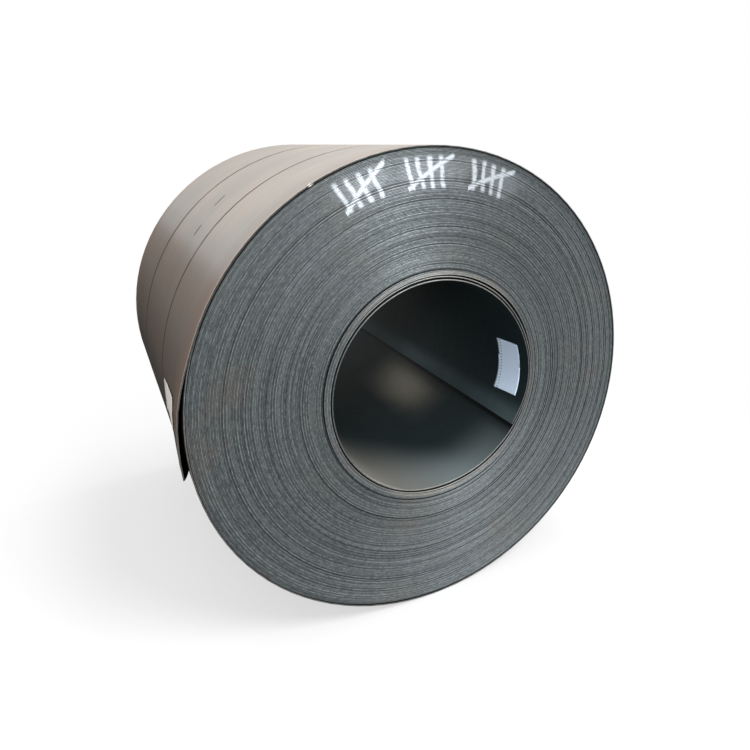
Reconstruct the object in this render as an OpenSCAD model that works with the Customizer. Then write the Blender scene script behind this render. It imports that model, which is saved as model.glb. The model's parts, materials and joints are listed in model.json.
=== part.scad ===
// Coil of hot-rolled steel strip, lying with its bore level.
// The bore runs along Y through the origin, the front end faces -Y and +Z is up.

/* [Strip] */
// Width of the strip, which is the length of the coil along its bore
strip_width = 1600; // [800:10:2000]
// Thickness of the strip
strip_gauge = 4; // [2.5:0.1:10]
// Bevel that the mill leaves along both edges of the strip
edge_bevel = 1.1; // [0.3:0.1:1.2]

/* [Winding] */
// Diameter of the bore that the mandrel left
bore_d = 762; // [508:1:900]
// Turns from the bore to the outside
turns = 105; // [40:1:140]
// Air left between one turn and the next
turn_gap = 0.16; // [0.05:0.01:0.6]
// How far the edge of a turn wanders to either side of the coil's end
edge_wander = 1.6; // [0.2:0.1:4]
// Turns next to the bore that stand proud at the front end
proud_turns = 6; // [1:1:12]
// How far those turns stand proud
proud_step = 6; // [1:0.5:15]
// Air between the first turns and the rest, where they have sprung apart at the ends
loose_gap = 4; // [1:0.5:12]
// Depth from each end over which they stand apart
loose_depth = 120; // [20:5:400]

/* [Outer tail] */
// Angle around the coil, from +X towards +Z, at which the last turn ends
tail_angle = 188; // [100:1:240]
// Arc past that end over which the face climbs back by one gauge
climb_arc = 165; // [120:1:175]
// Arc over which the front corner of the tail springs away
spring_arc = 72; // [50:1:90]
// Height of the sprung corner above the last turn
spring_lift = 19; // [5:1:40]
// Distance from the front end over which the corner springs away
spring_reach = 190; // [100:5:400]

/* [Inner tail] */
// Angle around the coil at which the first turn starts
inner_tail_angle = 325; // [280:1:350]
// Arc over which the wall next to that start drops by one turn
drop_arc = 78; // [40:1:85]

/* [Labels] */
// Long side of the paper label in the bore, which runs around it
label_length = 205; // [120:5:300]
// Short side of that label
label_width = 148; // [80:2:200]
// Thickness of the paper
paper_gauge = 0.2; // [0.1:0.1:0.8]
// Angle around the bore of the middle of the label inside it
bore_label_angle = 355; // [350:1:390]
// Distance of that label from the front end
bore_label_inset = 56; // [30:2:300]
// Turn of that label on the wall
bore_label_tilt = 3.5; // [-10:0.5:10]
// Long side of the paper label outside, which runs along the bore
side_label_length = 297; // [150:1:340]
// Short side of that label
side_label_width = 105; // [60:1:150]
// Angle back from the tail's end to the middle of that label
side_label_back = 9.8; // [8:0.2:40]
// Distance of that label from the front end
side_label_inset = 109; // [50:1:600]
// Turn of that label on the face
side_label_tilt = -6.5; // [-10:0.5:10]

/* [Hidden] */
$fn = 144;

// Turns at either end of the strip whose edges lie flush, so that a tail is cut in a plain edge
flush_turns = 2;
// Thickness of glue under a label
glue_gap = 0.1;
// How far past the face that it meets a curved lap is carried
lap_root = 1;
// How deep the sprung corner is rooted in the turns below
spring_root = 6;
// How far a cut runs past what it cuts
overrun = 5;
// Steps in degrees that make the edges wander from turn to turn
wander_steps = [47, 133, 291];

bore_r = bore_d / 2;
turn_pitch = strip_gauge + turn_gap;
loose_r = bore_r + flush_turns * turn_pitch;
outer_r = bore_r + turns * turn_pitch + loose_gap;
half_width = strip_width / 2;
// Depth to which the cuts beside the tails reach past the turn that they open
cut_depth = 3 * turn_pitch;
// Farthest that any turn reaches along the bore, with room to cut past it
cut_reach = half_width + edge_wander + proud_step + overrun;
// The sprung corner starts inside the last turn's edge and ends half a gauge below its face
corner_front = half_width - edge_wander - edge_bevel;
corner_drop = spring_lift + strip_gauge / 2;
// Angles at which the spring and the drop start
spring_start = tail_angle - spring_arc;
drop_start = inner_tail_angle - drop_arc;

// How far the edges of a turn lie to the front of the coil's plain ends
function turn_shift(turn) =
    let (waves = [for (step = wander_steps) sin(step * turn)])
    edge_wander * (waves[0] + waves[1] + waves[2]) / len(waves)
    + (turn < proud_turns ? proud_step : 0);

// Offset of the centre of a circle that starts at r and has risen by rise after the given arc
function offset_for(r, rise, arc) = (pow(r + rise, 2) - pow(r, 2)) / (2 * (r - (r + rise) * cos(arc)));

// Groove between the bevelled edges of a turn and the one below it. side is 1 at the front, -1 behind
function turn_groove(turn, side) =
    let (
        r = bore_r + turn * turn_pitch + loose_gap,
        shift = turn_shift(turn),
        below = turn_shift(turn - 1),
        root = side > 0 ? min(shift, below) : max(shift, below)
    )
    [
        [r - edge_bevel, side * half_width + below],
        [r, side * (half_width - edge_bevel) + root],
        [r + edge_bevel, side * half_width + shift],
    ];

// Gap behind the flush turns next to the bore
function loose_groove(side) =
    let (
        outside_r = loose_r + loose_gap,
        shift = turn_shift(flush_turns - 1),
        above = turn_shift(flush_turns)
    )
    [
        [loose_r - edge_bevel, side * half_width + shift],
        [loose_r, side * (half_width - edge_bevel) + shift],
        [loose_r, side * (half_width - loose_depth)],
        [outside_r, side * (half_width - loose_depth)],
        [outside_r, side * (half_width - edge_bevel) + above],
        [outside_r + edge_bevel, side * half_width + above],
    ];

// One end of the half section, from the bore outwards
function wound_end(side) =
    concat(
        [[bore_r, side * half_width + turn_shift(flush_turns - 1)]],
        loose_groove(side),
        [for (turn = [flush_turns + 1:turns - flush_turns]) each turn_groove(turn, side)],
        [[outer_r, side * half_width + turn_shift(turns - flush_turns)]]
    );

function reversed(points) = [for (i = [len(points) - 1:-1:0]) points[i]];

// Lays what is built around Z down along the bore, its upper end to the front
module along_bore() {
    rotate([90, 0, 0]) children();
}

// Moves a centre off the axis, away from the given angle
module off_centre(angle, distance) {
    translate([-distance * cos(angle), -distance * sin(angle), 0]) children();
}

// Part of a ring around the axis
module ring_sector(from, arc, inner_r, outside_r, half_length) {
    rotate([0, 0, from])
        rotate_extrude(angle = arc)
            translate([inner_r, -half_length])
                square([outside_r - inner_r, 2 * half_length]);
}

module wound_turns() {
    rotate_extrude() polygon(concat(wound_end(1), reversed(wound_end(-1))));
}

// Front corner of the tail: a sheet that leaves the coil along a slant and stands highest at the front.
// Its upper face may be raised, and its lower one lies a thickness below the plain sheet's face
module sprung_corner(raise, thickness) {
    start_r = outer_r - spring_root;
    offset = offset_for(start_r, spring_root + spring_lift, spring_arc);
    face_r = start_r + offset;
    off_centre(spring_start, offset)
        rotate([0, 0, spring_start])
            rotate_extrude(angle = spring_arc)
                polygon([
                    [face_r - thickness, corner_front],
                    [face_r + raise, corner_front],
                    [face_r - corner_drop + raise, corner_front - spring_reach],
                    [face_r - corner_drop - thickness, corner_front - spring_reach],
                ]);
}

// Room past the end of the tail, where the face lies one gauge lower and climbs back
module outer_tail_room() {
    start_r = outer_r - strip_gauge;
    offset = offset_for(start_r, strip_gauge + lap_root, climb_arc);
    difference() {
        ring_sector(tail_angle, climb_arc, outer_r - cut_depth,
                    outer_r + spring_lift + cut_depth, cut_reach);
        off_centre(tail_angle, offset)
            cylinder(r = start_r + offset, h = 2 * (cut_reach + overrun), center = true);
    }
}

// Room next to the strip's inner end, where the wall lies one gauge deeper
module inner_tail_room() {
    start_r = bore_r - lap_root;
    offset = offset_for(start_r, strip_gauge + lap_root, drop_arc);
    intersection() {
        ring_sector(drop_start, drop_arc, bore_r - cut_depth, bore_r + cut_depth, cut_reach);
        off_centre(drop_start, offset)
            cylinder(r = start_r + offset, h = 2 * (cut_reach + overrun), center = true);
    }
}

// Sheet of paper laid on a round face: a thin ring, cut to a box set out on the face
module paper_on(inner_r, angle, middle, around, along, tilt) {
    chord = 2 * inner_r * sin(around / inner_r * 90 / PI);
    intersection() {
        ring_sector(0, 360, inner_r, inner_r + paper_gauge, half_width);
        rotate([0, 0, angle])
            translate([inner_r, 0, middle])
                rotate([-tilt, 0, 0])
                    cube([around, chord, along], center = true);
    }
}

// Outer face with the sprung corner on it, raised so that paper can lie on it
module tail_face(raise) {
    cylinder(r = outer_r + raise, h = strip_width, center = true);
    sprung_corner(raise, spring_lift + cut_depth);
}

module coil() {
    color([0.29, 0.31, 0.32])
        along_bore()
            difference() {
                union() {
                    wound_turns();
                    sprung_corner(0, strip_gauge);
                }
                outer_tail_room();
                inner_tail_room();
            }
}

module bore_label() {
    middle = half_width - bore_label_inset - label_width / 2;
    color([0.86, 0.89, 0.93])
        along_bore()
            paper_on(bore_r - glue_gap - paper_gauge, bore_label_angle, middle,
                     label_length, label_width, bore_label_tilt);
}

module side_label() {
    middle = half_width - side_label_inset - side_label_length / 2;
    color([0.84, 0.81, 0.78])
        along_bore()
            difference() {
                intersection() {
                    tail_face(glue_gap + paper_gauge);
                    rotate([0, 0, tail_angle - side_label_back])
                        translate([outer_r, 0, middle])
                            rotate([-side_label_tilt, 0, 0])
                                cube([2 * (spring_lift + overrun), side_label_width, side_label_length],
                                     center = true);
                }
                tail_face(glue_gap);
            }
}

coil();
bore_label();
side_label();
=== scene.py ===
import json
import math

import bmesh
import bpy
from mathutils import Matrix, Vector


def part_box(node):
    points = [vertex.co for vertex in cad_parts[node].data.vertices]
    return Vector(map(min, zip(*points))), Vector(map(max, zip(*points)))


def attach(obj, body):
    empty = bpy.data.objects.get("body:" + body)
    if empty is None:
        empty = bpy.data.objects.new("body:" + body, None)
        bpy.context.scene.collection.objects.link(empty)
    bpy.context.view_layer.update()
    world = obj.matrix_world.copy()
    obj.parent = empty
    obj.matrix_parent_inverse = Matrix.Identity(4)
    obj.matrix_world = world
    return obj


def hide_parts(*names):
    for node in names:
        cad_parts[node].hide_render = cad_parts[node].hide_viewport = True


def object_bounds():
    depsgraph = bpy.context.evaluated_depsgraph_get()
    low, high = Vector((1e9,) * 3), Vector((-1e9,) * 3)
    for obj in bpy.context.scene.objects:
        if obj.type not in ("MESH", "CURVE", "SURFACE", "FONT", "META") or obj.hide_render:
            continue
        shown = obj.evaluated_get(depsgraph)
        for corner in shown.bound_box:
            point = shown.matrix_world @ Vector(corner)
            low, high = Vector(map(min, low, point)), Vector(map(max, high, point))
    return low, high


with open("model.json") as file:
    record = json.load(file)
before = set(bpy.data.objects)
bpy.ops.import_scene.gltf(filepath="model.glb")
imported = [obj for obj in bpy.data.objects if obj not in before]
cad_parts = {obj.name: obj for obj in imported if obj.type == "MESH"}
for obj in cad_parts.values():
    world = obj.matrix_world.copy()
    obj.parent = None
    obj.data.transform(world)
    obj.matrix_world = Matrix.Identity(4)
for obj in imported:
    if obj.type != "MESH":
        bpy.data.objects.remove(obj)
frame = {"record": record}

cad_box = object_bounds()


def srgb(red, green, blue):
    """A colour as a screen shows it, 0 to 255, in the linear numbers that shaders take."""
    shares = [channel / 255 for channel in (red, green, blue)]
    return tuple(((s + 0.055) / 1.055) ** 2.4 if s > 0.04045 else s / 12.92 for s in shares)


MM = 0.001
MANDREL = frame["record"]["mounts"][0]["dims"]
BORE_R = MANDREL["r_mm"] * MM
WIDTH = MANDREL["length_mm"] * MM
OUTER_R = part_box("coil")[1].z
FRONT = -WIDTH / 2
BACK = WIDTH / 2

# The strip. Angles run from +X towards +Z, and turns are counted from its inner end
GAUGE = 4 * MM
EDGE_ROUND = 1.3 * MM
START = math.radians(325)
TURNS = 104.62
STEPS = 100
TAIL = START + math.tau * TURNS

# Lay of the turns. The slack under the last one opens between two places, in turns before its end
LOOSE_GAP = 4 * MM
OUTER_SLACK = 1.2 * MM
SLACK_FROM = 1.6
SLACK_TO = 1.0
PITCH = (OUTER_R - GAUGE - LOOSE_GAP - OUTER_SLACK - BORE_R) / TURNS
# Where the first two turns lie, as (turn, millimetres outside a tight lay)
LOOSE_LAY = [
    (0.0, -8), (0.07, 0), (0.2, -10), (0.4, -6), (0.62, 0), (0.76, -2), (0.87, -9),
    (0.95, -6), (1.0, -2), (1.07, 4), (1.2, -4), (1.4, 1), (1.62, 4), (1.76, 3), (1.87, 0), (2.0, 4),
]

# Edges of the turns: the first ones stand proud at the front, and all of them wander a little
PROUD_TURNS = 6
PROUD_FADE = 0.3
PROUD = 5.2 * MM
WANDER = 1.5 * MM
WANDER_CYCLES = [0.437, 0.471, 0.137]
# Where two waves beat together the strip is narrower and its edges lie deeper, but not on the last turn
SUNK = 2.2 * MM
SUNK_CYCLES = [0.431, 0.067]
SUNK_BEAT = (0.3, 0.8)
CALM_FROM = 1.4
CALM_TO = 0.4
# Turns whose edges lie deeper still, as (turn, millimetres): outside the proud ones, and under the last one
RECESSES = [
    (0, 0), (5.9, 0), (6.3, 5), (6.55, 10), (6.9, 10), (7.1, 4), (7.4, 0), (7.6, 7), (7.85, 7), (8.0, 0),
    (TURNS - 1.95, 0), (TURNS - 1.8, 5), (TURNS - 1.5, 6), (TURNS - 1.3, 9),
    (TURNS - 1.1, 9), (TURNS - 1.03, 0), (TURNS, 0),
]

# Outer tail: its end bulges past its corners, and its front corner has sprung away
TONGUE = math.radians(14)
TONGUE_TURNS = 0.08
# How far the front corner stands off, as (degrees before the end, millimetres)
SPRING_LAY = [(0, 18.5), (9, 14.6), (28, 0)]
SPRING_REACH = 420 * MM
# Share of a turn that is cut finer for this, with the cuts where it springs, which crowd to the front, and
# the cuts behind those
FINE_TURNS = 0.3
SPRING_CUTS = 9
SPRING_CROWD = 1.4
TONGUE_CUTS = 8
CUT_TOLERANCE = 0.001 * MM

# Nick in the front edge of the last turn. Its floor and its bends are in shares of its half length
NICK_ANGLE = math.radians(120.2)
NICK_FROM_TOP = math.pi / 2 - NICK_ANGLE
NICK_DEPTH = 11 * MM
NICK_HALF = 8 * MM
NICK_FLOOR = 1 / 3
NICK_BENDS = [-1, -NICK_FLOOR, NICK_FLOOR, 1]

# Finishes of the strip's faces, and the turns at either end of the strip that show a face
EDGE, OUTER, BORE, BETWEEN = range(4)
EXPOSED = 1.04
# Least share of a face's normal that points straight outwards or inwards, or the face belongs to an edge
FACE_OUTWARD = 0.9
# Least share of an edge's normal that points along the bore, or it belongs to a cut end of the strip
EDGE_ALONG = 0.3

# Flat map of the finishes: both ends of the coil as discs, the outer face and the bore as bands above them,
# as (start, height), the strip's cut ends as thin rows, and what lies between the turns in a corner
MAP_R = OUTER_R + 20 * MM
MAP_DISC = 0.24
MAP_DISC_MIDDLE = 0.25
MAP_NEXT_DISC = 0.5
MAP_OUTER = (0.51, 0.28)
MAP_BORE = (0.81, 0.18)
MAP_CUT_ENDS = 0.493
MAP_ROW = 0.003
MAP_TAIL_ROW = 2
MAP_MARGIN = 0.01

# Paper labels: their size around and along the coil, the angle of their middle, its distance from the front,
# and how far they are turned on the face
BORE_LABEL_SIZE = (205 * MM, 148 * MM)
BORE_LABEL_ANGLE = math.radians(355)
BORE_LABEL_IN = 130 * MM
BORE_LABEL_TILT = math.radians(3.5)
SIDE_LABEL_SIZE = (105 * MM, 297 * MM)
SIDE_LABEL_ANGLE = math.radians(178.2)
SIDE_LABEL_IN = 257.5 * MM
SIDE_LABEL_TILT = math.radians(-6.5)
PAPER = 0.25 * MM
PAPER_CELLS = 16
GLUE = 0.7 * MM
CURL = 1.2 * MM
CURL_POWER = 3

# Waves of light and dark per turn on the ends, how far they drift, and the side along which a highlight is
# painted on them
LINE_CYCLES = 0.44
LINE_DRIFT = 8
HIGHLIGHT_SIDE = -20

# Tally strokes in white paint, high on the front end. Each group has four upright strokes and a slanted one
STROKE_PITCH = 39 * MM
STROKE_WIDTH = 17 * MM
STROKE_FADE = (0.15 * STROKE_WIDTH, 0.8 * STROKE_WIDTH)
STROKE_LEAN = 0.16
GROUP_STROKES = 4
GROUP_STEPS = 6
SLANT_MIDDLE = 2.2
SLANT_RISE = 0.42
SLANT_HALF = (2.3, 2.6)
TALLY_R = 735 * MM
TALLY_HALF_HEIGHT = 52 * MM
TALLY_STEPS = 17.3
TALLY_FROM = math.radians(-27)
TALLY_TO = TALLY_FROM + TALLY_STEPS * STROKE_PITCH / TALLY_R
TALLY_FADE = 0.01
# Faint mist of paint around the strokes, and the angle over which it fades to either side of their ends
MIST = 0.2
MIST_FADE = 0.1

# Marks on the outer face, as (distance from the front end at the top of the coil, half width)
ROLL_MARKS = [(403 * MM, 13 * MM), (975 * MM, 18 * MM)]
ROLL_MARK_DRIFT = 82 * MM
# Scratches, as (degrees from the top, half their degrees, distance from the front end)
SCRATCHES = [(-41.4, 2.6, 719 * MM), (-51, 2.0, 659 * MM)]
SCRATCH_HALF = 9 * MM

# Sides of the bore, in degrees from the top, left negative: the edge of the mouth where a highlight is
# painted, the side where a pool of light is painted at the mouth, and the side where that reaches furthest
# in
LIP_HIGHLIGHT_SIDE = -120.7
LIGHT_POOL_SIDE = -155.2
REACH_SIDE = -129.7

# Colours on the strip's edges, and the layers over them as (share, colour)
EDGE_DARK = srgb(62, 68, 70)
EDGE_LIGHT = srgb(135, 142, 144)
EDGE_BROWN = (0.4, srgb(118, 109, 99))
EDGE_WORN_AND_HIGHLIGHT = (0.55, srgb(170, 167, 162))
EDGE_RIM = (0.5, srgb(84, 74, 67))
EDGE_GRAIN = (0.3, srgb(50, 54, 56))
WHITE_PAINT = (0.85, srgb(216, 224, 231))
FRESH_METAL = (0.9, srgb(226, 222, 214))

# Colours and layers on the outer face
OUTER_WARM = srgb(185, 177, 169)
OUTER_GREY = (0.8, srgb(171, 168, 164))
OUTER_STREAKS = (0.2, srgb(146, 132, 121))
LEFT_SHADE_LIGHT = srgb(102, 93, 86)
LEFT_SHADE_DARK = srgb(90, 82, 75)
SHEEN_GREY = (0.18, srgb(192, 190, 186))
DARK_REFLECTION_BROWN = (0.3, srgb(112, 88, 72))
LOW_SHADE_DARK = (0.8, srgb(44, 41, 38))
BORDER_WARM = srgb(136, 112, 100)
BORDER_WORN_AND_HIGHLIGHT = (0.6, srgb(206, 196, 184))
OUTER_GRAIN = (0.12, srgb(110, 102, 96))
MARK_DARK = (0.9, srgb(56, 49, 45))
UNDER_TAIL_SHADE = (0.95, srgb(34, 31, 29))

# Colours and layers in the bore
BORE_BLUE = srgb(28, 38, 40)
BORE_STREAKS = (0.4, srgb(24, 31, 33))
DEEP_BORE_SHADE = (0.75, srgb(13, 18, 19))
LIT_ABOVE_STEP = (1.0, srgb(58, 71, 74))
BORE_DUST_AND_LIGHT = (0.9, srgb(120, 117, 105))
LIGHT_POOL_BLUE = srgb(116, 127, 129)
LIGHT_POOL_GREY = srgb(131, 131, 126)
LIGHT_POOL_SHARE = 0.92
LIP_HIGHLIGHT_GREY = (0.6, srgb(156, 152, 144))
LIP_HIGHLIGHT_BRIGHT = (0.8, srgb(214, 208, 196))
LEFT_WALL = (0.9, srgb(78, 90, 93))
SHADOW_BELOW_STEP = (0.7, srgb(24, 28, 29))
STEP_SHADOW = (0.85, srgb(8, 10, 10))
BORE_GRAIN = (0.15, srgb(52, 54, 54))

# Paper, and the faces between the turns
BORE_PAPER = srgb(214, 233, 255)
BORE_PAPER_DIRT = 0.06
SIDE_PAPER = srgb(236, 229, 221)
SIDE_PAPER_DIRT = 0.3
PAPER_DIRT = srgb(138, 134, 130)
PAPER_DOTS = (0.8, srgb(70, 73, 82))
PAPER_DOT_ROWS = 17
PAPER_DOT_COLUMN = 0.86
BETWEEN_TURNS = srgb(40, 41, 42)

# Studio: the floor turns white between two distances from the coil
FLOOR_SIZE = 30
FLOOR_SEEN = (0.92, 0.92, 0.92)
FLOOR_BOUNCE = (0.1, 0.1, 0.1)
FLOOR_PALE = 0.45
FLOOR_FADE = (1.2, 2.6)
WHITE = (1, 1, 1)
# Share of the white that shows with which the surroundings light the coil
WORLD_LIGHT = 0.555
# Lamps, as (name, place, point that it faces, size in metres, power in watts, shows in reflections)
LAMPS = [
    ("front_high", (1.0, -4.2, 3.6), (0, -0.8, 0), 2.2, 182, True),
    ("overhead", (1.4, 0.5, 4.3), (0, 0, 0), 2.2, 74, True),
    ("front_left", (-2.4, -5.2, 1.9), (0, -0.8, 0), 1.4, 200, False),
    ("rear", (-1.3, 3.8, 1.7), (0, 0, 0), 1.2, 35, True),
]

# Camera, as fitted to the photograph's 750 by 750 frame
FRAME_PX = 750
FOCAL_PX = 639.1
PRINCIPAL_PX = (478.2, 290.6)
EYE = (-0.9841, -2.6581, 0.8222)
YAW = math.radians(31.616)
PITCH_DOWN = math.radians(12.906)


def smooth(low, high, x):
    """Climbs from 0 to 1 as x goes from low to high."""
    share = min(max((x - low) / (high - low), 0), 1)
    return share * share * (3 - 2 * share)


def read_lay(points, x):
    """Reads a table of (place, value) with a smooth climb between its points."""
    for (low, a), (high, b) in zip(points, points[1:]):
        if x <= high:
            return a + (b - a) * smooth(low, high, x)
    return points[-1][1]


def lay_radius(turn):
    """Radius of the strip's inner face, before the tail springs away."""
    loose = read_lay(LOOSE_LAY, turn) * MM
    slack = OUTER_SLACK * smooth(TURNS - SLACK_FROM, TURNS - SLACK_TO, turn)
    return BORE_R + PITCH * turn + loose + slack


def spring(turn, behind):
    """How far the tail's front corner stands off, by its distance behind the front edge."""
    fade = 1 - smooth(0, SPRING_REACH, behind)
    return read_lay(SPRING_LAY, (TURNS - turn) * 360) * MM * fade


def edge_shift(turn):
    """How far a turn lies to the front of the middle of the coil."""
    waves = [math.sin(math.tau * cycles * turn + i) for i, cycles in enumerate(WANDER_CYCLES)]
    proud = PROUD * (1 - smooth(PROUD_TURNS - PROUD_FADE, PROUD_TURNS + PROUD_FADE, turn))
    return proud + WANDER * sum(waves) / len(waves)


def edge_sunk(turn):
    """How far a turn's edges lie below the coil's ends where the strip is narrower."""
    beat = math.prod(math.sin(math.tau * cycles * turn) for cycles in SUNK_CYCLES)
    calm = 1 - smooth(TURNS - CALM_FROM, TURNS - CALM_TO, turn)
    return SUNK * smooth(*SUNK_BEAT, beat) * calm + read_lay(RECESSES, turn) * MM


def tongue(turn, y):
    """How many turns further the end of the tail reaches away from its corners."""
    bulge = 1 - (y / BACK) ** 2
    return TONGUE / math.tau * bulge * smooth(TURNS - TONGUE_TURNS, TURNS, turn)


def nick(turn):
    """How far the front edge is pushed in where the last turn is nicked."""
    if turn < TURNS - 1:
        return 0
    off = (TAIL - NICK_ANGLE - (TURNS - turn) * math.tau) % math.tau
    arc = min(off, math.tau - off) * OUTER_R
    return NICK_DEPTH * (1 - smooth(NICK_FLOOR * NICK_HALF, NICK_HALF, arc))


def on_coil(angle, y, r):
    """The point at an angle around the bore, y along it and r from its axis."""
    return Vector((r * math.cos(angle), y, r * math.sin(angle)))


def strip_point(turn, depth, y):
    """A point of the wound strip, depth above its inner face, y along the bore in the flat strip."""
    r = lay_radius(turn) + depth + spring(turn, y - FRONT)
    place = y - edge_shift(turn) - math.copysign(edge_sunk(turn), y)
    if y < FRONT + 2 * EDGE_ROUND:
        place += nick(turn)
    return on_coil(START + math.tau * (turn + tongue(turn, y)), place, r)


def add_section(bm, turn_layer, turn):
    """Closed section of one turn, with its rounded edges, at the angle where the strip starts."""
    low = EDGE_ROUND
    high = GAUGE - EDGE_ROUND
    points = [
        (0, FRONT + EDGE_ROUND), (low, FRONT), (high, FRONT), (GAUGE, FRONT + EDGE_ROUND),
        (GAUGE, BACK - EDGE_ROUND), (high, BACK), (low, BACK), (0, BACK - EDGE_ROUND),
    ]
    ring = []
    for depth, y in points:
        vert = bm.verts.new(on_coil(START, y, BORE_R + turn * PITCH + depth))
        vert[turn_layer] = turn
        ring.append(vert)
    for a, b in zip(ring, ring[1:] + ring[:1]):
        bm.edges.new((a, b))


def spin_turns(bm, turn_layer, depth_layer):
    """Spins a section for each turn, moves the turns into one spiral and cuts it off at the tail's end."""
    for turn in range(math.ceil(TURNS)):
        add_section(bm, turn_layer, turn)
    spun = bmesh.ops.spin(
        bm, geom=bm.verts[:] + bm.edges[:], cent=(0, 0, 0), axis=(0, -1, 0), dvec=(0, 0, 0),
        angle=math.tau, steps=STEPS, use_merge=False, use_normal_flip=False, use_duplicate=False,
    )
    ends = {vert for vert in spun["geom_last"] if isinstance(vert, bmesh.types.BMVert)}
    for vert in bm.verts:
        base = vert[turn_layer]
        share = (math.atan2(vert.co.z, vert.co.x) - START) % math.tau / math.tau
        step = STEPS if vert in ends else round(share * STEPS) % STEPS
        vert[depth_layer] = math.hypot(vert.co.x, vert.co.z) - BORE_R - base * PITCH
        vert[turn_layer] = base + step / STEPS
        radius = BORE_R + vert[turn_layer] * PITCH + vert[depth_layer]
        vert.co = on_coil(START + math.tau * vert[turn_layer], vert.co.y, radius)
    bmesh.ops.remove_doubles(bm, verts=bm.verts[:], dist=GAUGE / 100)
    past = [vert for vert in bm.verts if vert[turn_layer] > TURNS + 0.1 / STEPS]
    bmesh.ops.delete(bm, geom=past, context="VERTS")
    bmesh.ops.holes_fill(bm, edges=[edge for edge in bm.edges if edge.is_boundary], sides=8)


def cut_tail(bm, turn_layer):
    """Cuts the last stretch of the strip finer, where it bends away, bulges and is nicked."""
    geom = {f for f in bm.faces if all(v[turn_layer] > TURNS - FINE_TURNS for v in f.verts)}
    for face in list(geom):
        geom.update(face.edges)
        geom.update(face.verts)
    planes = []
    for i in range(1, SPRING_CUTS + 1):
        y = FRONT + SPRING_REACH * (i / SPRING_CUTS) ** SPRING_CROWD
        planes.append(((0, y, 0), (0, 1, 0)))
    for i in range(1, TONGUE_CUTS + 1):
        y = FRONT + SPRING_REACH + (WIDTH - SPRING_REACH) * i / (TONGUE_CUTS + 1)
        planes.append(((0, y, 0), (0, 1, 0)))
    for share in NICK_BENDS:
        angle = NICK_ANGLE + share * NICK_HALF / OUTER_R
        planes.append(((0, 0, 0), (-math.sin(angle), 0, math.cos(angle))))
    for place, normal in planes:
        cut = bmesh.ops.bisect_plane(
            bm, geom=list(geom), dist=CUT_TOLERANCE, plane_co=place, plane_no=normal,
        )
        geom = cut["geom"]


def sort_faces(bm, turn_layer):
    """Gives each face the finish of its side, with a sharp line where two finishes meet."""
    for face in bm.faces:
        face.smooth = True
        middle = face.calc_center_median()
        outward = face.normal.dot(Vector((middle.x, 0, middle.z)).normalized())
        turn = sum(v[turn_layer] for v in face.verts) / len(face.verts)
        if abs(outward) < FACE_OUTWARD:
            face.material_index = EDGE
        elif outward > 0 and turn > TURNS - EXPOSED:
            face.material_index = OUTER
        elif outward < 0 and turn < EXPOSED:
            face.material_index = BORE
        else:
            face.material_index = BETWEEN
    for edge in bm.edges:
        if len({face.material_index for face in edge.link_faces}) > 1:
            edge.smooth = False


def map_spot(kind, cut_end, place, turn, depth):
    """Where a point of the strip lies on the flat map of the finishes."""
    back = (place.y - FRONT) / WIDTH
    if kind == OUTER:
        start, height = MAP_OUTER
        return (TURNS - turn) / EXPOSED, start + height * back
    if kind == BORE:
        start, height = MAP_BORE
        return turn / EXPOSED, start + height * back
    if kind == BETWEEN:
        return back * MAP_ROW, depth / GAUGE * MAP_ROW
    if cut_end:
        row = depth / GAUGE + (MAP_TAIL_ROW if turn > TURNS / 2 else 0)
        return MAP_MARGIN + (1 - 2 * MAP_MARGIN) * back, MAP_CUT_ENDS + MAP_ROW * row
    disc = MAP_DISC_MIDDLE + MAP_NEXT_DISC * round(back)
    return disc + MAP_DISC * place.x / MAP_R, MAP_DISC_MIDDLE + MAP_DISC * place.z / MAP_R


def draw_map(bm, turn_layer, depth_layer):
    """Lays the strip's faces out on the flat map of the finishes."""
    bake_map = bm.loops.layers.uv.new("OFBake")
    for face in bm.faces:
        cut_end = abs(face.normal.y) < EDGE_ALONG
        for loop in face.loops:
            vert = loop.vert
            spot = map_spot(face.material_index, cut_end, vert.co, vert[turn_layer], vert[depth_layer])
            loop[bake_map].uv = spot


def linked(name, data):
    """An object of the scene that shows a mesh, lamp or camera."""
    made = bpy.data.objects.new(name, data)
    bpy.context.scene.collection.objects.link(made)
    return made


def finished(name, bm, materials):
    """Turns a bmesh into an object with its materials."""
    mesh = bpy.data.meshes.new(name)
    bm.to_mesh(mesh)
    bm.free()
    for material in materials:
        mesh.materials.append(material)
    return linked(name, mesh)


def wind_strip(materials):
    """The whole coil: one strip, wound from the bore to its sprung tail."""
    bm = bmesh.new()
    turn_layer = bm.verts.layers.float.new("turn")
    depth_layer = bm.verts.layers.float.new("depth")
    spin_turns(bm, turn_layer, depth_layer)
    cut_tail(bm, turn_layer)
    for vert in bm.verts:
        vert.co = strip_point(vert[turn_layer], vert[depth_layer], vert.co.y)
    bmesh.ops.recalc_face_normals(bm, faces=bm.faces[:])
    sort_faces(bm, turn_layer)
    draw_map(bm, turn_layer, depth_layer)
    return finished("coil_strip", bm, materials)


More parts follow.
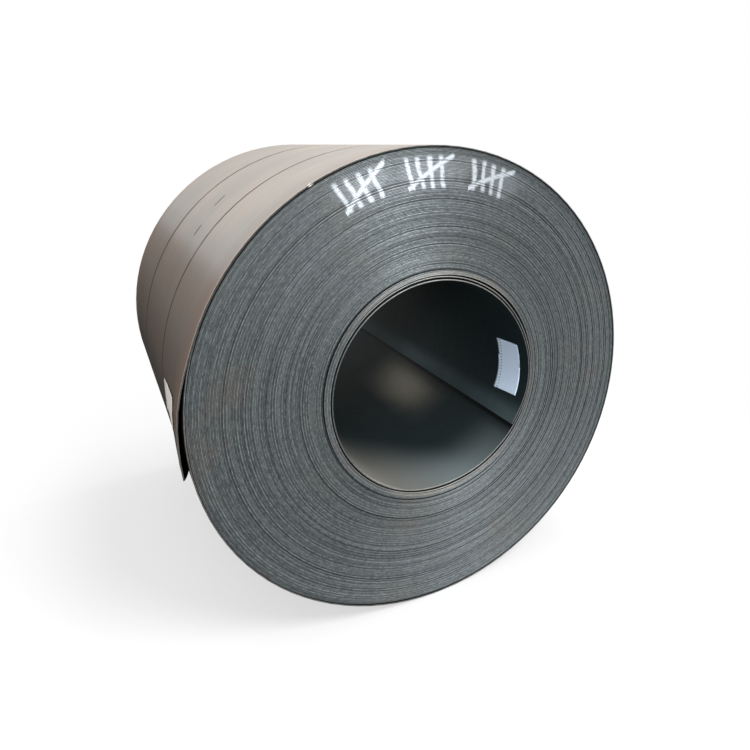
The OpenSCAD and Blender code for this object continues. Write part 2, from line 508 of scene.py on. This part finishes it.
def lay_paper(name, material, angle, inset, size, tilt, inside):
    """A sheet of paper stuck to the bore or to the outer face, with its corners lifted a little."""
    bm = bmesh.new()
    bm.loops.layers.uv.new("UVMap")
    bmesh.ops.create_grid(bm, x_segments=PAPER_CELLS, y_segments=PAPER_CELLS, size=0.5, calc_uvs=True)
    face_r = BORE_R if inside else OUTER_R
    for vert in bm.verts:
        across = vert.co.x * size[0]
        down = vert.co.y * size[1]
        at = angle + (across * math.cos(tilt) - down * math.sin(tilt)) / face_r
        y = FRONT + inset + across * math.sin(tilt) + down * math.cos(tilt)
        lift = GLUE + CURL * abs(vert.co.x * vert.co.y * 4) ** CURL_POWER
        if inside:
            turn = (at - START) / math.tau
            r = lay_radius(turn) - lift
            y -= edge_shift(turn)
        else:
            turn = TURNS - (TAIL % math.tau - at) / math.tau
            r = lay_radius(turn) + GAUGE + spring(turn, y - FRONT) + lift
        vert.co = on_coil(at, y, r)
    bmesh.ops.solidify(bm, geom=bm.faces[:], thickness=-PAPER if inside else PAPER)
    bmesh.ops.recalc_face_normals(bm, faces=bm.faces[:])
    for face in bm.faces:
        face.smooth = True
    return finished(name, bm, [material])


class Term:
    """A shader socket that takes part in Python sums."""

    def __init__(self, finish, socket):
        self.finish = finish
        self.socket = socket

    def __add__(self, other):
        return self.finish.math("ADD", self, other)

    def __radd__(self, other):
        return self.finish.math("ADD", other, self)

    def __sub__(self, other):
        return self.finish.math("SUBTRACT", self, other)

    def __rsub__(self, other):
        return self.finish.math("SUBTRACT", other, self)

    def __mul__(self, other):
        return self.finish.math("MULTIPLY", self, other)

    def __rmul__(self, other):
        return self.finish.math("MULTIPLY", other, self)

    def __truediv__(self, other):
        return self.finish.math("DIVIDE", self, other)

    def __pow__(self, other):
        return self.finish.math("POWER", self, other)

    def __neg__(self):
        return self.finish.math("SUBTRACT", 0, self)

    def __abs__(self):
        return self.finish.math("ABSOLUTE", self)

    def sine(self):
        return self.finish.math("SINE", self)

    def fraction(self):
        return self.finish.math("FRACT", self)

    def at_least(self, other):
        return self.finish.math("MAXIMUM", self, other)

    def at_most(self, other):
        return self.finish.math("MINIMUM", self, other)

    def between(self, low, high):
        """0 at low and below, 1 at high and above, with a smooth climb."""
        sockets = {"Value": self, "From Min": low, "From Max": high}
        return self.finish.node("MapRange", {"interpolation_type": "SMOOTHSTEP"}, sockets)


class Finish:
    """The nodes of a material or of the world, added as its look is described."""

    def __init__(self, owner, shader="Principled BSDF"):
        owner.use_nodes = True
        self.owner = owner
        self.tree = owner.node_tree
        self.surface = self.tree.nodes[shader]

    def node(self, kind, settings=None, sockets=None, output=0):
        """Adds one node, with its settings first and then the values or links of its sockets."""
        made = self.tree.nodes.new("ShaderNode" + kind)
        for name, value in (settings or {}).items():
            setattr(made, name, value)
        for name, value in (sockets or {}).items():
            self.plug(made.inputs[name], value)
        return Term(self, made.outputs[output])

    def plug(self, socket, value):
        """Links a term to a socket, or sets the socket's value."""
        if isinstance(value, Term):
            self.tree.links.new(value.socket, socket)
        elif socket.type == "RGBA":
            socket.default_value = (*value, 1)
        else:
            socket.default_value = value

    def set(self, **values):
        """Sets or links the sockets of the shader."""
        for name, value in values.items():
            self.plug(self.surface.inputs[name.replace("_", " ")], value)

    def math(self, operation, *terms):
        return self.node("Math", {"operation": operation}, dict(enumerate(terms)))

    def vector(self, x, y, z):
        return self.node("CombineXYZ", sockets={0: x, 1: y, 2: z})

    def split(self, vector):
        """The three numbers of a vector."""
        parts = self.node("SeparateXYZ", sockets={0: vector})
        return [Term(self, socket) for socket in parts.socket.node.outputs]

    def place(self):
        """Object coordinates as a vector, and as x, y and z."""
        vector = self.node("TexCoord", output="Object")
        return vector, *self.split(vector)

    def from_top(self, x, z):
        """Angle from the top of the coil, in radians, left negative."""
        return self.math("ARCTAN2", x, z)

    def turn(self):
        """Turns from the strip's inner end."""
        return self.node("Attribute", {"attribute_name": "turn"}, output="Fac")

    def noise(self, vector, scale=1.0, detail=3.0, rough=0.5):
        sockets = {"Vector": vector, "Scale": scale, "Detail": detail, "Roughness": rough}
        return self.node("TexNoise", sockets=sockets)

    def mix(self, share, a, b):
        """Colour a, with a share of colour b."""
        return self.node("Mix", {"data_type": "RGBA"}, {0: share, 6: a, 7: b}, 2)

    def coat(self, under, where, layer):
        """The colour under a layer, given as (share, colour), that lies where a mask says."""
        share, colour = layer
        return self.mix(where * share, under, colour)

    def bump(self, height, distance):
        self.set(Normal=self.node("Bump", sockets={"Height": height, "Distance": distance}))


def toward(x, z, degrees):
    """Distance from the bore's axis to one side, given in degrees from the top, left negative."""
    angle = math.radians(degrees)
    return x * math.sin(angle) + z * math.cos(angle)


def tally_paint(from_top, radius, warp, thin):
    """How thick the paint of the tally strokes lies, with a faint mist around it."""
    up = (radius - TALLY_R) / TALLY_HALF_HEIGHT + (warp - 0.5) * 0.5
    step = (from_top - TALLY_FROM) * TALLY_R / STROKE_PITCH + up * STROKE_LEAN + (warp - 0.5) * 0.7
    in_group = (step / GROUP_STEPS).fraction() * GROUP_STEPS

    off_upright = abs(in_group.fraction() - 0.5) * STROKE_PITCH
    upright = (1 - off_upright.between(*STROKE_FADE)) * (1 - abs(up).between(0.8, 1.15))
    upright = upright * (1 - in_group.between(GROUP_STROKES, GROUP_STROKES + 0.05))
    along_slant = in_group - SLANT_MIDDLE
    off_slant = abs(along_slant * SLANT_RISE - up) * TALLY_HALF_HEIGHT
    slanted = (1 - off_slant.between(*STROKE_FADE)) * (1 - abs(along_slant).between(*SLANT_HALF))

    started = from_top.between(TALLY_FROM - TALLY_FADE, TALLY_FROM)
    ended = from_top.between(TALLY_TO, TALLY_TO + TALLY_FADE)
    strokes = upright.at_least(slanted) * thin * started * (1 - ended)
    mist_started = from_top.between(TALLY_FROM - MIST_FADE, TALLY_FROM + MIST_FADE)
    mist_ended = from_top.between(TALLY_TO - MIST_FADE, TALLY_TO + MIST_FADE)
    mist = (1 - abs(up).between(0.5, 1.4)) * warp.between(0.3, 0.6) * mist_started * (1 - mist_ended)
    return strokes.at_least(mist * MIST)


def edge_finish():
    """Rolled edge of the strip, seen on the ends of the coil, with a painted highlight and painted shade on
    them.
    """
    finish = Finish(bpy.data.materials.new("strip_edge"))
    vector, x, y, z = finish.place()
    turn = finish.turn()
    from_top = finish.from_top(x, z)
    radius = (x * x + z * z) ** 0.5
    patches = finish.noise(vector, 3.5, 4)
    grain = finish.noise(vector, 240, 3, 0.6)
    tone = finish.noise(finish.vector(turn * 3.7, 0, 0), detail=1)
    drift = finish.noise(finish.vector(turn * 0.35, 0, 0), detail=2)
    hatch = finish.noise(finish.vector(from_top * 40, turn * 1.7, 0), detail=2).between(0.3, 0.7)

    lines = (turn * (LINE_CYCLES * math.tau) + drift * LINE_DRIFT).sine() * 0.5 + 0.5
    light = lines * (0.4 + 0.6 * hatch) * 0.5 + hatch * 0.2 + tone.between(0.3, 0.7) * 0.3
    near_top = (z / radius).between(0.7, 1)
    # Painted highlight: the ends are lighter in a band through their top and bottom, weaker at the top.
    # Painted shade makes them a little darker towards the left
    painted_highlight = abs(toward(x, z, HIGHLIGHT_SIDE) / radius).between(0.5, 0.95) * (1 - 0.5 * near_top)
    light = light + painted_highlight * 0.13 - (-x / radius).between(0.3, 0.9) * 0.06
    colour = finish.mix(light, EDGE_DARK, EDGE_LIGHT)
    colour = finish.coat(colour, patches.between(0.5, 0.75), EDGE_BROWN)

    # Worn bare metal on the proud turns, made stronger at their top and bottom as a painted highlight
    proud = 1 - turn.between(PROUD_TURNS - 1.5, PROUD_TURNS - 1)
    worn_and_highlight = proud * (0.2 + 0.8 * abs(z).between(0.2, 0.36)) * patches.between(0.25, 0.55)
    colour = finish.coat(colour, worn_and_highlight, EDGE_WORN_AND_HIGHLIGHT)
    colour = finish.coat(colour, turn.between(TURNS - 1.05, TURNS - 1), EDGE_RIM)
    colour = finish.coat(colour, grain.between(0.4, 0.7), EDGE_GRAIN)

    warp = finish.noise(finish.vector(x * 9, z * 9, 0), detail=2)
    thin = finish.noise(finish.vector(x * 60, z * 60, 0), detail=3).between(0.1, 0.45)
    paint = tally_paint(from_top, radius, warp, thin * grain.between(0.1, 0.4))
    front_end = 1 - y.between(0, 0.1)
    colour = finish.coat(colour, paint * front_end, WHITE_PAINT)
    off_nick = abs(from_top - NICK_FROM_TOP) * OUTER_R
    fresh = (1 - off_nick.between(0.004, 0.012)) * turn.between(TURNS - 1.9, TURNS - 1.85)
    colour = finish.coat(colour, fresh, FRESH_METAL)

    finish.set(Base_Color=colour, Metallic=0.65, Roughness=0.34 + 0.15 * grain, Specular_IOR_Level=0.06)
    finish.bump(grain, 0.0004)
    return finish.owner


def outer_finish():
    """Satin mill scale on the outer face, with its roll marks and scratches, and with painted shade, sheen
    and reflection.
    """
    finish = Finish(bpy.data.materials.new("outer_scale"))
    vector, x, y, z = finish.place()
    turn = finish.turn()
    from_top = finish.from_top(x, z)
    behind = y - FRONT
    inside = BACK - abs(y)
    clouds = finish.noise(vector, 2.2, 3)
    grain = finish.noise(vector, 420, 3, 0.6)
    streaks = finish.noise(finish.vector(from_top * 1.5, y * 60, 0), detail=4, rough=0.6)
    broken = finish.noise(finish.vector(from_top * 9, y * 25, 0), detail=3)

    colour = finish.coat(OUTER_WARM, clouds.between(0.35, 0.65), OUTER_GREY)
    colour = finish.coat(colour, streaks.between(0.35, 0.75), OUTER_STREAKS)
    off_bottom = from_top.between(-2.9, -2.1)
    # Painted shade: the outer face is darker and browner, in streaks, on its left side
    shaded_left_side = (1 - from_top.between(-1.45, -0.7)) * off_bottom
    colour = finish.mix(shaded_left_side, colour, finish.mix(streaks, LEFT_SHADE_LIGHT, LEFT_SHADE_DARK))
    # Painted sheen: a lighter grey band across the outer face, high on its left side
    painted_sheen = 1 - abs(from_top + 0.88).between(0.04, 0.14)
    colour = finish.coat(colour, painted_sheen, SHEEN_GREY)
    # Painted reflection: a darker, browner band below the painted sheen
    dark_reflection_band = (1 - from_top.between(-1.05, -0.93)) * from_top.between(-1.34, -1.08)
    colour = finish.coat(colour, dark_reflection_band, DARK_REFLECTION_BROWN)
    # Painted shade: the low left side of the outer face is darker still
    painted_low_shade = (1 - from_top.between(-1.66, -1.38)) * off_bottom
    colour = finish.coat(colour, painted_low_shade, LOW_SHADE_DARK)

    border = 1 - inside.between(0.02, 0.16)
    colour = finish.mix(border * (0.15 + 0.2 * shaded_left_side), colour, BORDER_WARM)
    # A bright line along both ends of the outer face: worn rolled corners with a painted highlight on them
    colour = finish.coat(colour, 1 - inside.between(0.004, 0.014), BORDER_WORN_AND_HIGHLIGHT)
    colour = finish.coat(colour, grain.between(0.45, 0.75), OUTER_GRAIN)

    off_left = abs(from_top + 0.9).between(0.9, 1.6)
    pressed = (0.75 + 0.25 * broken.between(0.3, 0.6)) * (1 - 0.45 * off_left)
    drift = from_top.sine() * ROLL_MARK_DRIFT
    marks = 0
    for place, half in ROLL_MARKS:
        marks = marks + (1 - abs(behind - place + drift).between(half * 0.2, half)) * pressed
    for middle, half, place in SCRATCHES:
        off_middle = abs(from_top - math.radians(middle))
        length = 1 - off_middle.between(math.radians(half * 0.5), math.radians(half))
        marks = marks + (1 - abs(behind - place).between(SCRATCH_HALF / 3, SCRATCH_HALF)) * length
    colour = finish.coat(colour, marks.at_most(1), MARK_DARK)
    # Painted shade on the face just under the tail's sprung corner
    painted_shade_under_tail = 1 - turn.between(TURNS - 1.0, TURNS - 0.965)
    colour = finish.coat(colour, painted_shade_under_tail, UNDER_TAIL_SHADE)

    finish.set(Base_Color=colour, Metallic=0.0, Roughness=0.6 + 0.15 * streaks, Specular_IOR_Level=0.004)
    finish.bump(grain * 0.4 + streaks - marks, 0.0002)
    return finish.owner


def bore_finish():
    """Dull mill scale inside the bore, blue-grey with dusty patches and a step where the strip starts, with
    painted light and highlights near the mouth and above the step, and painted shade deep in and under the
    step.
    """
    finish = Finish(bpy.data.materials.new("bore_scale"))
    vector, x, y, z = finish.place()
    turn = finish.turn()
    from_top = finish.from_top(x, z)
    behind = y - FRONT
    clouds = finish.noise(vector, 3, 3)
    grain = finish.noise(vector, 420, 3, 0.6)
    streaks = finish.noise(finish.vector(from_top * 2, y * 45, 0), detail=4, rough=0.6)

    colour = finish.coat(BORE_BLUE, streaks.between(0.3, 0.75), BORE_STREAKS)
    # Painted shade: the bore is darker deeper in
    colour = finish.coat(colour, behind.between(0.65, 1.25), DEEP_BORE_SHADE)
    # Painted light: the strip's inner end is lighter just above the step
    above = (1 - turn.between(0.012, 0.04)) * (0.6 + 0.4 * clouds.between(0.3, 0.6))
    colour = finish.coat(colour, above * (1 - 0.5 * behind.between(0.9, 1.3)), LIT_ABOVE_STEP)
    # Dust on the lower right wall partway in, made lighter as a painted pool of light
    dust_and_light = behind.between(0.42, 0.78) * (1 - behind.between(0.78, 1.2)) * x.between(0.08, 0.24)
    near_step = turn.between(0.955, 0.995)
    dust_and_light = dust_and_light * (1 - 0.7 * near_step) * turn.between(0.3, 0.5) * clouds.between(0.1, 0.5)
    colour = finish.coat(colour, dust_and_light, BORE_DUST_AND_LIGHT)

    # Painted light: a pool of light on the bottom of the bore at the mouth, fading inwards and reaching
    # furthest in on the lower left
    light_pool_at_mouth = toward(x, z, LIGHT_POOL_SIDE).between(0, 0.3) * (-z).between(0.02, 0.16)
    light_pool_at_mouth = light_pool_at_mouth * (1 - 0.3 * x.between(0.05, 0.22))
    reach = 0.3 + 0.3 * toward(x, z, REACH_SIDE).between(0.1, 0.36)
    light_pool_at_mouth = light_pool_at_mouth * (1 - behind.between(0, reach)) ** 1.6
    light_pool_colour = finish.mix((-x).between(-0.1, 0.2), LIGHT_POOL_BLUE, LIGHT_POOL_GREY)
    colour = finish.coat(colour, light_pool_at_mouth, (LIGHT_POOL_SHARE, light_pool_colour))
    # Painted highlight on the mouth's edge at the lower left, grey just inside the mouth
    lip_highlight = toward(x, z, LIP_HIGHLIGHT_SIDE).between(0.3, 0.378)
    colour = finish.coat(colour, lip_highlight * (1 - behind.between(0, 0.2)), LIP_HIGHLIGHT_GREY)
    left_wall = (-x).between(0.27, 0.35) * (z + 0.02).between(0, 0.08) * (1 - behind.between(0.2, 0.5))
    colour = finish.coat(colour, left_wall, LEFT_WALL)

    # Painted shadow in a band just below the step where the strip starts
    below = turn.between(0.972, 0.996) * (1 - behind.between(0.6, 1.3))
    colour = finish.coat(colour, below, SHADOW_BELOW_STEP)
    colour = finish.coat(colour, turn.between(0.99, 0.996), STEP_SHADOW)
    # Bright line of the painted highlight along the mouth's edge
    colour = finish.coat(colour, lip_highlight * (1 - behind.between(0.002, 0.016)), LIP_HIGHLIGHT_BRIGHT)
    colour = finish.coat(colour, grain.between(0.45, 0.75), BORE_GRAIN)

    finish.set(Base_Color=colour, Metallic=0.0, Roughness=0.6 + 0.15 * streaks, Specular_IOR_Level=0.06)
    finish.bump(grain * 0.4 + streaks * 0.5, 0.0001)
    return finish.owner


def paper_finish(name, tint, dirty):
    """Label paper with a faint column of dots and a little dirt."""
    finish = Finish(bpy.data.materials.new(name))
    across, down, _ = finish.split(finish.node("UVMap", {"uv_map": "UVMap"}))
    vector = finish.node("TexCoord", output="Object")
    fibres = finish.noise(vector, 900, 3, 0.6)
    dirt = finish.noise(vector, 22, 4, 0.6)
    colour = finish.coat(tint, dirt.between(0.45, 0.75), (dirty, PAPER_DIRT))
    gap = abs((across * PAPER_DOT_ROWS).fraction() - 0.5).between(0.12, 0.26)
    column = 1 - abs(down - PAPER_DOT_COLUMN).between(0.015, 0.045)
    colour = finish.coat(colour, column * (1 - gap) * dirt.between(0.3, 0.45), PAPER_DOTS)
    finish.set(Base_Color=colour, Roughness=0.75, Specular_IOR_Level=0.3)
    finish.bump(fibres, 0.0001)
    return finish.owner


def between_finish():
    """Faces that lie between two turns, out of sight."""
    finish = Finish(bpy.data.materials.new("strip_between_turns"))
    finish.set(Base_Color=BETWEEN_TURNS, Metallic=0.0, Roughness=0.7, Specular_IOR_Level=0.05)
    return finish.owner


def shown(finish):
    """1 for rays that show a thing directly, in a reflection or through glass, and 0 for its light."""
    kinds = ("Camera", "Glossy", "Transmission")
    return sum(finish.node("LightPath", output=f"Is {kind} Ray") for kind in kinds).at_most(1)


def floor_finish():
    """Pale floor that keeps the shadow and turns plain white away from the coil."""
    finish = Finish(bpy.data.materials.new("floor"))
    _, x, y, _ = finish.place()
    seen = shown(finish)
    colour = finish.mix(seen, FLOOR_BOUNCE, FLOOR_SEEN)
    finish.set(Base_Color=colour, Roughness=1.0, Specular_IOR_Level=0.0)
    lit = Term(finish, finish.surface.outputs[0])
    white = finish.node("Emission", sockets={"Color": WHITE, "Strength": 1.0})
    far = ((x * x + y * y) ** 0.5).between(*FLOOR_FADE)
    pale = FLOOR_PALE + (1 - FLOOR_PALE) * far
    blend = finish.node("MixShader", sockets={0: pale * seen, 1: lit, 2: white})
    finish.plug(finish.tree.nodes["Material Output"].inputs["Surface"], blend)
    return finish.owner


def lay_floor():
    """The floor that the coil lies on."""
    bm = bmesh.new()
    bmesh.ops.create_grid(bm, x_segments=1, y_segments=1, size=FLOOR_SIZE)
    bmesh.ops.translate(bm, verts=bm.verts[:], vec=(0, 0, cad_box[0][2]))
    return finished("floor", bm, [floor_finish()])


def hang_lamp(name, place, target, size, power, gloss):
    """A round lamp that faces a point."""
    lamp = bpy.data.lights.new(name, "AREA")
    lamp.shape = "DISK"
    lamp.size = size
    lamp.energy = power
    hung = linked(name, lamp)
    hung.visible_glossy = gloss
    hung.location = place
    hung.rotation_euler = (Vector(target) - Vector(place)).to_track_quat("-Z", "Y").to_euler()


def set_world():
    """White surroundings that light the coil softly."""
    world = bpy.data.worlds.new("studio")
    bpy.context.scene.world = world
    finish = Finish(world, "Background")
    finish.set(Color=WHITE, Strength=WORLD_LIGHT + (1 - WORLD_LIGHT) * shown(finish))


def set_camera():
    """The camera that took the photograph."""
    data = bpy.data.cameras.new("camera")
    data.sensor_fit = "HORIZONTAL"
    data.lens = FOCAL_PX / FRAME_PX * data.sensor_width
    data.shift_x = 0.5 - PRINCIPAL_PX[0] / FRAME_PX
    data.shift_y = PRINCIPAL_PX[1] / FRAME_PX - 0.5
    camera = linked("camera", data)
    camera.location = EYE
    camera.rotation_euler = (math.pi / 2 - PITCH_DOWN, 0, -YAW)
    bpy.context.scene.camera = camera


coil_strip = wind_strip([edge_finish(), outer_finish(), bore_finish(), between_finish()])
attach(coil_strip, "root")
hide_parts("coil")

bore_paper = lay_paper(
    "bore_paper", paper_finish("bore_paper", BORE_PAPER, BORE_PAPER_DIRT),
    BORE_LABEL_ANGLE, BORE_LABEL_IN, BORE_LABEL_SIZE, BORE_LABEL_TILT, True,
)
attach(bore_paper, "root")
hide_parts("bore_label")

side_paper = lay_paper(
    "side_paper", paper_finish("side_paper", SIDE_PAPER, SIDE_PAPER_DIRT),
    SIDE_LABEL_ANGLE, SIDE_LABEL_IN, SIDE_LABEL_SIZE, SIDE_LABEL_TILT, False,
)
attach(side_paper, "root")
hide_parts("side_label")

lay_floor()
for lamp in LAMPS:
    hang_lamp(*lamp)
set_world()
set_camera()
bpy.context.scene.view_settings.view_transform = "Standard"
